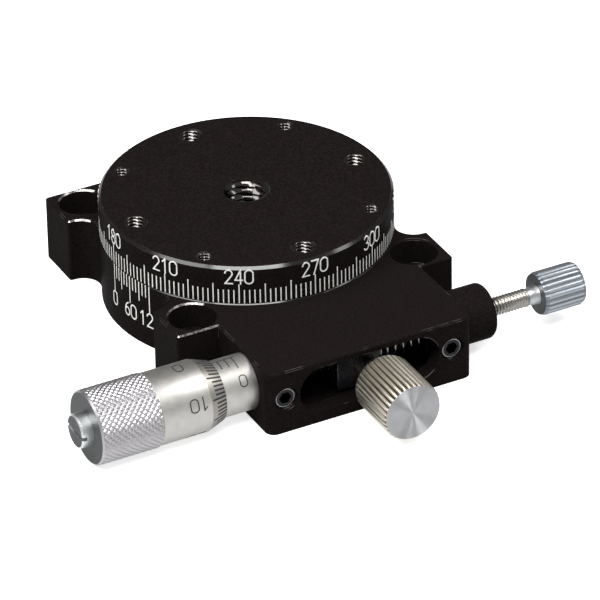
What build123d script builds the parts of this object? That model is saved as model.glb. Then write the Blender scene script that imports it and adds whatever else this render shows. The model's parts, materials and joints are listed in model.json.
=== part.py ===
"""Manual rotary table: a graduated round table on a ball bearing, turned freely by hand, locked to a
lever by a front clamp knob, and then turned finely by a micrometer head against a return spring.

Frame, in millimetres: the origin is on the turning axis at the underside of the base, +Z is up,
the micrometer lies along X on the -X side, and the clamp knob points to -Y.
"""
import os

from build123d import *

# ---- driving dimensions -------------------------------------------------------------------------
table_radius = 19.2
table_thickness = 5.4
base_height = 9.0
table_gap = 0.2  # height of the table's underside over the base
rim_rise = 0.15  # the base's round part stands this much above its ears and block
rim_chamfer = 0.12
ear_pitch = 32.0  # square of the four base holes
ear_outer_x = 19.85
ear_inner_x = 11.6
ear_inner_y = 12.4
ear_outer_y = 19.5
ear_side_blend = 2.5  # concave blends of an ear into the round base
ear_end_blend = 1.8
ear_corner_radius = 0.35
block_left_x = -14.1  # the drive block stands a little to the spring's side
block_right_x = 15.1
block_front_y = -33.3
block_corner_radius = 1.3
slot_x = 0.3
slot_half_length = 10.0
slot_left_x = slot_x - slot_half_length
slot_right_x = slot_x + slot_half_length
slot_height = 6.4
drive_y = -27.0  # line of the micrometer and the return spring
drive_z = 4.9
clamp_x = 0.8  # the clamp screw stands a little to the spring's side
fine_travel = 2.36  # lever travel at the drive line for 5 degrees each way
running = 0.03  # radial clearance of parts that turn or slide
contact_gap = 0.04  # air at a rolling or pushing contact at rest
edge_break = 0.2
table_edge_break = 0.35
hole_break = 0.1

# ---- table and bearing --------------------------------------------------------------------------
table_bottom = base_height + table_gap
table_top = table_bottom + table_thickness
centre_hole_radius = 3.0  # M6
large_hole_radius = 1.5  # M3
large_hole_circle = 32.0
small_hole_radius = 1.0  # M2
small_hole_circle = 34.0
large_hole_angles = (0, 90, 180, 270)
small_hole_angles = (45, 135, 225, 315)
table_hole_depth = 4.5
table_recess_top = 10.0  # ceiling of the hollow above the bearing
hub_radius = 12.2
hub_bottom = 2.2
bearing_bore_radius = 6.0  # a 12 x 21 x 5 mm ball bearing
bearing_outer_radius = 10.5
bearing_bottom = 3.2
bearing_top = 8.2
bearing_middle = (bearing_bottom + bearing_top) / 2
inner_race_radius = 7.4
outer_race_radius = 9.1
ball_radius = 1.0
ball_circle_radius = 8.25
ball_count = 12
ball_play = 0.02
cage_wall = 0.4
cage_height = 2.4
circlip_thickness = 0.7
circlip_reach = 0.4
circlip_width = 1.3
circlip_opening = 4.5
post_flange_top = 9.2
through_bore_radius = 2.4
post_boss_radius = 7.3

# ---- base ---------------------------------------------------------------------------------------
plate_thickness = 1.3
plate_radius = 18.2
tongue_half_width = 12.9
tongue_front_y = -32.3
ring_bore_radius = 15.1
ring_mouth_radius = 12.8
cavity_top = drive_z + slot_height / 2
front_wall = 1.9
window_half_width = 6.4
window_back_y = -12.8
cavity_back_y = -20.5
recess_top = 8.0  # ceiling of the round recess
overrun = 1.0  # how far a cutting tool passes the face it opens
ear_hole_radius = 1.7  # clears M3
ear_counterbore_radius = 3.1
ear_counterbore_depth = 3.6
set_screw_radius = 1.5  # M3
set_screw_offset = 11.9  # from the middle of the slot
set_screw_mouth_radius = 1.6
set_screw_mouth_depth = 0.4
set_screw_hex = 1.5
set_screw_hex_depth = 1.3
plate_screw_radius = 0.8  # M1.6, countersunk
plate_screw_head_radius = 1.5
plate_screw_length = 3.0
plate_screw_circle = 16.6
plate_screw_angles = (0, 60, 120, 180)
tongue_screw_places = ((-11.2, -21.1), (11.2, -21.1), (-11.2, -30.7), (11.2, -30.7))
post_screw_radius = 1.0  # M2, countersunk
post_screw_head_radius = 1.8
post_screw_circle = 4.6
post_screw_length = 6.0
post_screw_angles = (30, 150, 270)
socket_depth = 0.6
socket_share = 1.2  # hexagon across its flats over the screw's radius

# ---- fine lever and clamp -----------------------------------------------------------------------
lever_bottom = 2.0
lever_top = 7.8
lever_ring_radius = 15.0
lever_half_width = 3.0
lever_end_y = -30.7
anvil_radius = 1.6
anvil_depth = 1.0
clamp_hole_radius = 1.5
shoe_back_y = -16.6
clamp_knob_radius = 4.0
clamp_knob_back_y = -35.5
clamp_knob_face_y = -43.6
clamp_screw_end_y = -40.3

# ---- micrometer head: places along X from the axis of the table ---------------------------------
shank_radius = 3.05
sleeve_radius = 3.7
sleeve_end_x = -29.4
thimble_edge_x = -18.75
thimble_bore_radius = 3.76
thimble_bevel_x = -21.1
thimble_knurl_x = -28.0
thimble_end_x = -36.4
thimble_floor_x = -35.3
thimble_edge_radius = 3.95
thimble_radius = 4.75
thimble_knurl_radius = 4.9
thimble_rim_radius = 4.65
thimble_rim = 0.25
spindle_radius = 1.6
spindle_thread_radius = 2.0
spindle_thread_x = -20.2
spindle_relief = 0.6  # free length of the threaded bore beyond the fine travel
nut_start_x = -24.3
nut_radius = 2.9
spindle_ball_radius = 1.3
nose_reach = 0.325  # the spindle's nose holds the ball a little past its middle
cap_radius = 2.25
cap_end_x = -38.0
cap_stud_radius = 1.0
cap_stud_end_x = -32.0
cap_slot_width = 0.5
cap_slot_depth = 0.65

# ---- spring barrel and lock screw: places along X -----------------------------------------------
barrel_shank_radius = 3.15
barrel_radius = 3.7
barrel_bore_radius = 2.8
barrel_floor_x = 18.6
barrel_end_x = 20.45
barrel_end_round = 0.75
spring_wire_radius = 0.27
spring_mean_radius = 2.4
spring_pitch = 0.93
lock_screw_radius = 1.25
lock_tip_face_x = 6.3
lock_tip_length = 2.0
lock_tip_wall = 0.7
lock_tip_radius = 1.7
lock_pilot_radius = 0.75
lock_collar_x = 26.6
lock_collar_radius = 1.1
lock_knob_back_x = 27.9
lock_knob_face_x = 33.85
lock_knob_radius = 2.9
lock_knob_cap = 1.3  # solid end of the knob beyond the screw

# ---- helpers ------------------------------------------------------------------------------------
TURN = Plane.XY
DRIVE = Plane(origin=(0, drive_y, drive_z), x_dir=(0, 1, 0), z_dir=(1, 0, 0))
CLAMP = Plane(origin=(clamp_x, 0, drive_z), x_dir=(1, 0, 0), z_dir=(0, 1, 0))


def bar(plane, radius, low, high):
    """A round bar along the plane's normal, between two places on that normal."""
    return extrude(plane.offset(low) * Circle(radius), amount=high - low)


def tube(plane, outer, inner, low, high):
    """A round tube along the plane's normal."""
    return extrude(plane.offset(low) * (Circle(outer) - Circle(inner)), amount=high - low)


def cone(plane, low_radius, high_radius, low, high):
    """A cone along the plane's normal."""
    sections = [plane.offset(low) * Circle(low_radius), plane.offset(high) * Circle(high_radius)]
    return loft(sections)


def block(x0, x1, y0, y1, z0, z1):
    """A box between two corners."""
    size = (x1 - x0, y1 - y0, z1 - z0)
    return Pos((x0 + x1) / 2, (y0 + y1) / 2, (z0 + z1) / 2) * Box(*size)


def hexagon(plane, across_flats, low, high):
    """A hexagonal bar along the plane's normal."""
    outline = RegularPolygon(across_flats / 2, 6, major_radius=False)
    return extrude(plane.offset(low) * outline, amount=high - low)


def circle_places(radius, angles):
    """Places on a circle about the turning axis."""
    return [Rot(0, 0, angle) * Pos(radius, 0, 0) for angle in angles]


def ear_places():
    """The four corners of the base's hole square."""
    half = ear_pitch / 2
    return [Pos(x, y, 0) for x in (-half, half) for y in (-half, half)]


# ---- base parts ---------------------------------------------------------------------------------
def base_outline():
    """The outside of the base: a round body, four ears and the drive block in front."""
    body = bar(TURN, table_radius, 0, base_height)
    for side_x in (-1, 1):
        for side_y in (-1, 1):
            x0, x1 = sorted((side_x * ear_inner_x, side_x * ear_outer_x))
            y0, y1 = sorted((side_y * ear_inner_y, side_y * ear_outer_y))
            body += block(x0, x1, y0, y1, 0, base_height)
    body += block(block_left_x, block_right_x, block_front_y, -ear_inner_y, 0, base_height)
    upright = body.edges().filter_by(Axis.Z)
    corners = upright.filter_by(lambda e: abs(e.center().Y - block_front_y) < edge_break)
    body = fillet(corners, block_corner_radius)
    body = fillet(ear_valleys(body, True), ear_side_blend)
    body = fillet(ear_valleys(body, False), ear_end_blend)
    upright = body.edges().filter_by(Axis.Z)
    corners = upright.filter_by(lambda e: abs(abs(e.center().X) - ear_outer_x) < edge_break)
    body = fillet(corners, ear_corner_radius)
    top = body.faces().sort_by(Axis.Z)[-1]
    return chamfer(top.edges(), edge_break)


def ear_valleys(body, beside):
    """The upright edges where the ears meet the round body: beside the ears, or at the back ears' ends."""
    chosen = []
    for edge in body.edges().filter_by(Axis.Z):
        place = edge.center()
        on_round = abs(Vector(place.X, place.Y).length - table_radius) < edge_break
        on_side = abs(abs(place.Y) - ear_inner_y) < edge_break
        if on_round and on_side == beside and (on_side or place.Y > 0):
            chosen.append(edge)
    return chosen


def drive_slot():
    """The long opening in the front wall, with the cavity and the window to the round recess."""
    front = Plane(origin=(slot_x, block_front_y, drive_z), x_dir=(1, 0, 0), z_dir=(0, 1, 0))
    slot = extrude(front * SlotOverall(2 * slot_half_length, slot_height), amount=front_wall + overrun)
    cavity_front = block_front_y + front_wall
    cavity = block(slot_left_x, slot_right_x, cavity_front, cavity_back_y, 0, cavity_top)
    window = block(-window_half_width, window_half_width, cavity_front, window_back_y, 0, cavity_top)
    return slot + cavity + window


def base_rim():
    """The top of the base's round part, a little above the rest."""
    rim = bar(TURN, table_radius, base_height - edge_break, base_height + rim_rise)
    return chamfer(rim.faces().sort_by(Axis.Z)[-1].edges(), rim_chamfer)


def base_body():
    body = base_outline() + base_rim()
    body -= bar(TURN, ring_bore_radius, 0, recess_top)
    body -= bar(TURN, ring_mouth_radius, 0, base_height + rim_rise)
    body -= plate_outline(0)
    body -= drive_slot()
    for place in ear_places():
        body -= place * bar(TURN, ear_hole_radius, 0, base_height)
        body -= place * ear_counterbore()
    body -= bar(DRIVE, shank_radius, block_left_x, 0)
    body -= bar(DRIVE, barrel_shank_radius, 0, block_right_x)
    for x in (slot_x - set_screw_offset, slot_x + set_screw_offset):
        line = Plane(origin=(x, block_front_y, drive_z), x_dir=(1, 0, 0), z_dir=(0, 1, 0))
        body -= bar(line, set_screw_radius, 0, drive_y - block_front_y)
        body -= bar(line, set_screw_mouth_radius, 0, set_screw_mouth_depth)
    for place in plate_screw_places():
        body -= place * bar(TURN, plate_screw_radius, 0, plate_screw_length)
    return body


def ear_counterbore():
    """The space for a screw head, from the base's top, with a broken mouth."""
    mouth = cone(TURN, ear_counterbore_radius, ear_counterbore_radius + edge_break,
                 base_height - edge_break, base_height)
    return bar(TURN, ear_counterbore_radius, base_height - ear_counterbore_depth, base_height) + mouth


def plate_outline(shrink):
    """The bottom plate's outline as a solid: a disc with a tongue under the drive block."""
    disc = bar(TURN, plate_radius - shrink, 0, plate_thickness)
    half = tongue_half_width - shrink
    tongue = block(-half, half, tongue_front_y + shrink, 0, 0, plate_thickness)
    return disc + tongue


def plate_screw_places():
    return circle_places(plate_screw_circle, plate_screw_angles) + [
        Pos(x, y, 0) for x, y in tongue_screw_places
    ]


def post_screw_places():
    return circle_places(post_screw_circle, post_screw_angles)


def countersunk(radius, head_radius, length):
    """A flat-head screw standing on its head at Z = 0, with a hexagon socket underneath."""
    screw = bar(TURN, radius, 0, length)
    screw += cone(TURN, head_radius, radius, 0, head_radius - radius)
    return screw - hexagon(TURN, radius * socket_share, 0, socket_depth)


def countersink(radius, head_radius, length):
    """The space a flat-head screw needs."""
    return bar(TURN, radius, 0, length) + cone(TURN, head_radius, radius, 0, head_radius - radius)


def bottom_plate():
    plate = plate_outline(running)
    plate += bar(TURN, post_boss_radius, 0, bearing_bottom)
    plate -= bar(TURN, through_bore_radius, 0, bearing_bottom)
    for place in plate_screw_places():
        plate -= place * countersink(plate_screw_radius, plate_screw_head_radius, plate_screw_length)
    for place in post_screw_places():
        plate -= place * countersink(post_screw_radius, post_screw_head_radius, post_screw_length)
    return plate


def bottom_plate_screws():
    screw = countersunk(plate_screw_radius, plate_screw_head_radius, plate_screw_length)
    return Compound(children=[place * screw for place in plate_screw_places()])


def pivot_post():
    """The fixed post that carries the bearing's inner ring."""
    post = bar(TURN, bearing_bore_radius, bearing_bottom, bearing_top)
    post += bar(TURN, post_boss_radius, bearing_top, post_flange_top)
    post -= bar(TURN, through_bore_radius, bearing_bottom, post_flange_top)
    for place in post_screw_places():
        post -= place * bar(TURN, post_screw_radius, bearing_bottom, post_screw_length)
    return post


def post_screws():
    screw = countersunk(post_screw_radius, post_screw_head_radius, post_screw_length)
    return Compound(children=[place * screw for place in post_screw_places()])


def grub_screw(x, shank):
    """A hexagon-socket set screw in the front wall, pressing on a round shank."""
    line = Plane(origin=(x, 0, drive_z), x_dir=(1, 0, 0), z_dir=(0, 1, 0))
    face_y = block_front_y + set_screw_mouth_depth
    end_y = drive_y - shank
    screw = bar(line, set_screw_radius, face_y, end_y)
    screw -= hexagon(line, set_screw_hex, face_y, face_y + set_screw_hex_depth)
    return chamfer(screw.faces().sort_by(Axis.Y)[0].outer_wire().edges(), edge_break)


def micrometer_set_screw():
    return grub_screw(slot_x - set_screw_offset, shank_radius)


def barrel_set_screw():
    return grub_screw(slot_x + set_screw_offset, barrel_shank_radius)


# ---- bearing ------------------------------------------------------------------------------------
def ball_groove():
    """The ring of space that the balls roll in."""
    section = Plane.XZ * Pos(ball_circle_radius, bearing_middle) * Circle(ball_radius + ball_play)
    return revolve(section, Axis.Z)


def bearing_inner_ring():
    ring = tube(TURN, inner_race_radius, bearing_bore_radius, bearing_bottom, bearing_top)
    return ring - ball_groove()


def bearing_outer_ring():
    ring = tube(TURN, bearing_outer_radius, outer_race_radius, bearing_bottom, bearing_top)
    return ring - ball_groove()


def ball_places():
    step = 360 / ball_count
    angles = [step * index for index in range(ball_count)]
    return [Pos(0, 0, bearing_middle) * place for place in circle_places(ball_circle_radius, angles)]


def bearing_balls():
    return Compound(children=[place * Sphere(ball_radius) for place in ball_places()])


def bearing_cage():
    low, high = bearing_middle - cage_height / 2, bearing_middle + cage_height / 2
    cage = tube(TURN, ball_circle_radius + cage_wall, ball_circle_radius - cage_wall, low, high)
    outward = Plane(origin=(0, 0, 0), z_dir=(1, 0, 0))
    pocket = bar(outward, ball_radius + running, -2 * cage_wall, 2 * cage_wall)
    for place in ball_places():
        cage -= place * pocket
    return cage


def bearing_circlip():
    """The open snap ring that holds the outer ring in the table's hub."""
    outer = bearing_outer_radius + circlip_reach
    low = bearing_bottom - circlip_thickness
    clip = tube(TURN, outer, outer - circlip_width, low, bearing_bottom)
    return clip - block(0, outer + overrun, -circlip_opening / 2, circlip_opening / 2, low, bearing_bottom)


# ---- table --------------------------------------------------------------------------------------
def rotary_table():
    """The graduated table with its hub, bearing seat and tapped holes."""
    table = bar(TURN, table_radius, table_bottom, table_top)
    table = chamfer(table.faces().sort_by(Axis.Z)[-1].edges(), table_edge_break)
    table = chamfer(table.faces().sort_by(Axis.Z)[0].edges(), edge_break)
    table += bar(TURN, hub_radius, hub_bottom, table_bottom + edge_break)
    table -= bar(TURN, bearing_outer_radius, hub_bottom, bearing_top)
    table -= bar(TURN, outer_race_radius, bearing_top, table_recess_top)
    groove_low = bearing_bottom - circlip_thickness
    table -= bar(TURN, bearing_outer_radius + circlip_reach, groove_low, bearing_bottom)
    table -= tapped_hole(centre_hole_radius, table_recess_top)
    hole_floor = table_top - table_hole_depth
    for place in circle_places(large_hole_circle / 2, large_hole_angles):
        table -= place * tapped_hole(large_hole_radius, hole_floor)
    for place in circle_places(small_hole_circle / 2, small_hole_angles):
        table -= place * tapped_hole(small_hole_radius, hole_floor)
    return table


def tapped_hole(radius, floor):
    """A tapped hole from the table's top, at nominal radius, with a broken mouth."""
    mouth = cone(TURN, radius, radius + hole_break, table_top - hole_break, table_top)
    return bar(TURN, radius, floor, table_top) + mouth


# ---- fine lever and its clamp -------------------------------------------------------------------
def fine_lever():
    """The ring around the hub with the arm that reaches into the drive block."""
    lever = bar(TURN, lever_ring_radius, lever_bottom, lever_top)
    lever += block(-lever_half_width, lever_half_width, lever_end_y, 0, lever_bottom, lever_top)
    lever -= bar(TURN, hub_radius + running, lever_bottom, lever_top)
    lever -= bar(CLAMP, clamp_hole_radius, lever_end_y, 0)
    lever -= bar(DRIVE, anvil_radius, -lever_half_width, -lever_half_width + anvil_depth)
    return lever


def lever_anvil():
    """The hardened pad that the micrometer's ball pushes on."""
    return bar(DRIVE, anvil_radius, -lever_half_width, -lever_half_width + anvil_depth)


def clamp_shoe():
    """The brass shoe that grips the hub; its front is hollowed to the hub's curve."""
    shoe = bar(CLAMP, clamp_hole_radius - running, shoe_back_y, overrun - hub_radius)
    return shoe - bar(TURN, hub_radius + contact_gap, lever_bottom, lever_top)


def clamp_screw():
    tip_y = shoe_back_y - running
    return bar(CLAMP, clamp_hole_radius - running, clamp_screw_end_y, tip_y)


def clamp_knob():
    knob = bar(CLAMP, clamp_knob_radius, clamp_knob_face_y, clamp_knob_back_y)
    knob = chamfer(knob.edges(), edge_break)
    return knob - bar(CLAMP, clamp_hole_radius - running, clamp_screw_end_y, clamp_knob_back_y)


# ---- micrometer head ----------------------------------------------------------------------------
def ball_centre_x():
    return -lever_half_width - contact_gap - spindle_ball_radius


def micrometer_sleeve():
    """The fixed graduated sleeve with its mounting shank and spindle guide."""
    sleeve = bar(DRIVE, shank_radius, block_left_x, slot_left_x)
    sleeve += bar(DRIVE, sleeve_radius, sleeve_end_x, block_left_x)
    guide_x = spindle_thread_x + fine_travel + spindle_relief
    sleeve -= bar(DRIVE, spindle_radius + running, guide_x, 0)
    sleeve -= bar(DRIVE, spindle_thread_radius + running, nut_start_x, guide_x)
    sleeve -= bar(DRIVE, nut_radius, sleeve_end_x, nut_start_x)
    return sleeve


def micrometer_nut():
    """The bronze nut in the sleeve's end that the spindle's thread runs in."""
    return tube(DRIVE, nut_radius, spindle_thread_radius + running, sleeve_end_x, nut_start_x)


def spindle_ball():
    return Pos(ball_centre_x(), drive_y, drive_z) * Sphere(spindle_ball_radius)


def micrometer_spindle():
    """The spindle: a ground nose that holds the ball, then the threaded length."""
    nose_x = ball_centre_x() + nose_reach
    spindle = bar(DRIVE, spindle_radius, spindle_thread_x, nose_x)
    spindle += bar(DRIVE, spindle_thread_radius, thimble_floor_x, spindle_thread_x)
    cup = Sphere(spindle_ball_radius + ball_play)
    spindle -= Pos(ball_centre_x(), drive_y, drive_z) * Rot(0, 90, 0) * cup
    return spindle - bar(DRIVE, cap_stud_radius, thimble_floor_x, cap_stud_end_x)


def thimble():
    """The turning thimble: a graduated bevel, a smooth barrel and a knurled grip."""
    profile = Polyline(
        (thimble_edge_x, thimble_bore_radius),
        (thimble_edge_x, thimble_edge_radius),
        (thimble_bevel_x, thimble_radius),
        (thimble_knurl_x, thimble_radius),
        (thimble_knurl_x, thimble_knurl_radius),
        (thimble_end_x + thimble_rim, thimble_knurl_radius),
        (thimble_end_x, thimble_rim_radius),
        (thimble_end_x, cap_stud_radius),
        (thimble_floor_x, cap_stud_radius),
        (thimble_floor_x, thimble_bore_radius),
        (thimble_edge_x, thimble_bore_radius),
    )
    upright = Plane(origin=(0, drive_y, drive_z), x_dir=(1, 0, 0), z_dir=(0, -1, 0))
    return revolve(upright * make_face(profile), Axis((0, drive_y, drive_z), (1, 0, 0)))


def thimble_cap():
    """The slotted screw that clamps the thimble on the spindle."""
    cap = bar(DRIVE, cap_radius, cap_end_x, thimble_end_x)
    cap = chamfer(cap.faces().sort_by(Axis.X)[0].edges(), edge_break)
    cap += bar(DRIVE, cap_stud_radius, thimble_end_x, cap_stud_end_x)
    slot_y = cap_radius + overrun
    half = cap_slot_width / 2
    return cap - block(cap_end_x, cap_end_x + cap_slot_depth, drive_y - slot_y, drive_y + slot_y,
                       drive_z - half, drive_z + half)


# ---- spring barrel and lock screw ---------------------------------------------------------------
def spring_barrel():
    """The tube that houses the return spring and carries the lock screw's thread."""
    barrel = bar(DRIVE, barrel_radius, block_right_x, barrel_end_x)
    barrel = fillet(barrel.faces().sort_by(Axis.X)[-1].edges(), barrel_end_round)
    barrel += bar(DRIVE, barrel_shank_radius, slot_right_x, block_right_x)
    barrel -= bar(DRIVE, barrel_bore_radius, slot_right_x, barrel_floor_x)
    return barrel - bar(DRIVE, lock_screw_radius + running, barrel_floor_x, barrel_end_x)


def return_spring():
    """The coil spring that holds the lever against the micrometer."""
    start_x = lever_half_width + spring_wire_radius + contact_gap
    length = barrel_floor_x - spring_wire_radius - contact_gap - start_x
    coil = Helix(
        pitch=spring_pitch,
        height=length,
        radius=spring_mean_radius,
        center=(start_x, drive_y, drive_z),
        direction=(1, 0, 0),
    )
    section = Plane(origin=coil @ 0, z_dir=coil % 0) * Circle(spring_wire_radius)
    return sweep(section, path=coil, is_frenet=True)


def lock_tip():
    """The brass tip that stays still while the lock screw turns in it."""
    end_x = lock_tip_face_x + lock_tip_length
    tip = bar(DRIVE, lock_tip_radius, lock_tip_face_x, end_x)
    tip = chamfer(tip.faces().sort_by(Axis.X)[0].edges(), edge_break)
    return tip - bar(DRIVE, lock_pilot_radius + running, lock_tip_face_x + lock_tip_wall, end_x)


def lock_screw():
    end_x = lock_tip_face_x + lock_tip_length
    screw = bar(DRIVE, lock_pilot_radius, lock_tip_face_x + lock_tip_wall + running, end_x + running)
    screw += bar(DRIVE, lock_screw_radius, end_x + running, lock_collar_x)
    return screw + bar(DRIVE, lock_collar_radius, lock_collar_x, lock_knob_face_x - lock_knob_cap)


def lock_knob():
    knob = bar(DRIVE, lock_knob_radius, lock_knob_back_x, lock_knob_face_x)
    knob = chamfer(knob.edges(), edge_break)
    return knob - bar(DRIVE, lock_collar_radius, lock_knob_back_x, lock_knob_face_x - lock_knob_cap)


NODES = {
    "base_body": base_body,
    "bottom_plate": bottom_plate,
    "bottom_plate_screws": bottom_plate_screws,
    "pivot_post": pivot_post,
    "post_screws": post_screws,
    "micrometer_set_screw": micrometer_set_screw,
    "barrel_set_screw": barrel_set_screw,
    "bearing_inner_ring": bearing_inner_ring,
    "bearing_outer_ring": bearing_outer_ring,
    "bearing_balls": bearing_balls,
    "bearing_cage": bearing_cage,
    "bearing_circlip": bearing_circlip,
    "rotary_table": rotary_table,
    "fine_lever": fine_lever,
    "lever_anvil": lever_anvil,
    "clamp_shoe": clamp_shoe,
    "clamp_screw": clamp_screw,
    "clamp_knob": clamp_knob,
    "micrometer_sleeve": micrometer_sleeve,
    "micrometer_nut": micrometer_nut,
    "spindle_ball": spindle_ball,
    "micrometer_spindle": micrometer_spindle,
    "thimble": thimble,
    "thimble_cap": thimble_cap,
    "spring_barrel": spring_barrel,
    "return_spring": return_spring,
    "lock_tip": lock_tip,
    "lock_screw": lock_screw,
    "lock_knob": lock_knob,
}

os.makedirs("parts", exist_ok=True)
for node, make in NODES.items():
    export_step(make(), f"parts/{node}.step")
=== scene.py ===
"""The looks of the manual rotary table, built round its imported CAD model. Lengths are in metres."""

import json
from math import atan2, cos, hypot, radians, sin, tau

import bmesh
import bpy
from mathutils import Matrix, Vector

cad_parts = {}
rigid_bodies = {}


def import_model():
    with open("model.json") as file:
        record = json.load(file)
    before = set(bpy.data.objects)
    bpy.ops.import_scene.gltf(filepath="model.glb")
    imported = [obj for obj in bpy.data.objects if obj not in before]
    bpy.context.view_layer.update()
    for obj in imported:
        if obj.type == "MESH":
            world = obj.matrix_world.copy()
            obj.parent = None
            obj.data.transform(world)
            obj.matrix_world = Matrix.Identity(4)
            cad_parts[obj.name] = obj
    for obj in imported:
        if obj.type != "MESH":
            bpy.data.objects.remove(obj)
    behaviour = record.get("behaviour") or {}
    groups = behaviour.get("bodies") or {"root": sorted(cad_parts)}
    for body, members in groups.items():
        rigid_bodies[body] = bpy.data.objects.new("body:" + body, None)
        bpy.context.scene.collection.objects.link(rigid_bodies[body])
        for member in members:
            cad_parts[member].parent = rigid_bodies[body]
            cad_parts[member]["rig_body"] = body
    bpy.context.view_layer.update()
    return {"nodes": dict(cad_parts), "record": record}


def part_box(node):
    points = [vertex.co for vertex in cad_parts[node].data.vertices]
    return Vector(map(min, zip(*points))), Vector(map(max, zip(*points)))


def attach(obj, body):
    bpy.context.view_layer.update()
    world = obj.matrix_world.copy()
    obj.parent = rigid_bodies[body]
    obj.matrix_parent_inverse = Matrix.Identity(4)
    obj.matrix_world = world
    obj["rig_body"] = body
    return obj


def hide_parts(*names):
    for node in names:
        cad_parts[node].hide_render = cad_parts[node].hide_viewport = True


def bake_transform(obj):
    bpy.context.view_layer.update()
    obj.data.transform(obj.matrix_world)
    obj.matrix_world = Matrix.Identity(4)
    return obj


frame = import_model()
MM = 0.001

# ---- places, read from the frame ----------------------------------------------------------------


def middle(node):
    low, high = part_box(node)
    return (low + high) / 2


ORIGIN = Vector((0, 0, 0))
RIM_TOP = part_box("base_body")[1].z
RIM_CHAMFER = 0.12 * MM  # chamfer of the base's raised rim
TABLE_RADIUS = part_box("rotary_table")[1].x
TABLE_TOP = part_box("rotary_table")[1].z
TABLE_BOTTOM = RIM_TOP + 0.05 * MM
EDGE = 0.2 * MM  # chamfer of the table's lower edge
DRIVE = middle("micrometer_sleeve")  # the line of the micrometer and the spring runs along X
CLAMP = middle("clamp_knob")  # the line of the clamp knob runs along Y
SLEEVE_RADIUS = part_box("micrometer_sleeve")[1].z - DRIVE.z
THIMBLE_END, THIMBLE_EDGE = (corner.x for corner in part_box("thimble"))

KNURL_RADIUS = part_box("thimble")[1].z - DRIVE.z
BARREL_RADIUS = KNURL_RADIUS - 0.15 * MM  # the thimble's smooth part
BEVEL_EDGE_RADIUS = SLEEVE_RADIUS + 0.25 * MM
BEVEL_X = THIMBLE_EDGE - 2.35 * MM
KNURL_X = THIMBLE_EDGE - 9.25 * MM
RIM = 0.25 * MM  # chamfer of the thimble's end
RIM_RADIUS = KNURL_RADIUS - RIM

# ---- materials ----------------------------------------------------------------------------------
USUAL_NOISE = (0.3, 0.7)  # the noise seldom leaves this range
EDGE_TURN = (0.995, 0.93)  # agreement of a rounded and a flat normal, away from an edge and on it
WEAR_PATCH, WEAR_FADE = 2.5 * MM, 0.08


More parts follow.
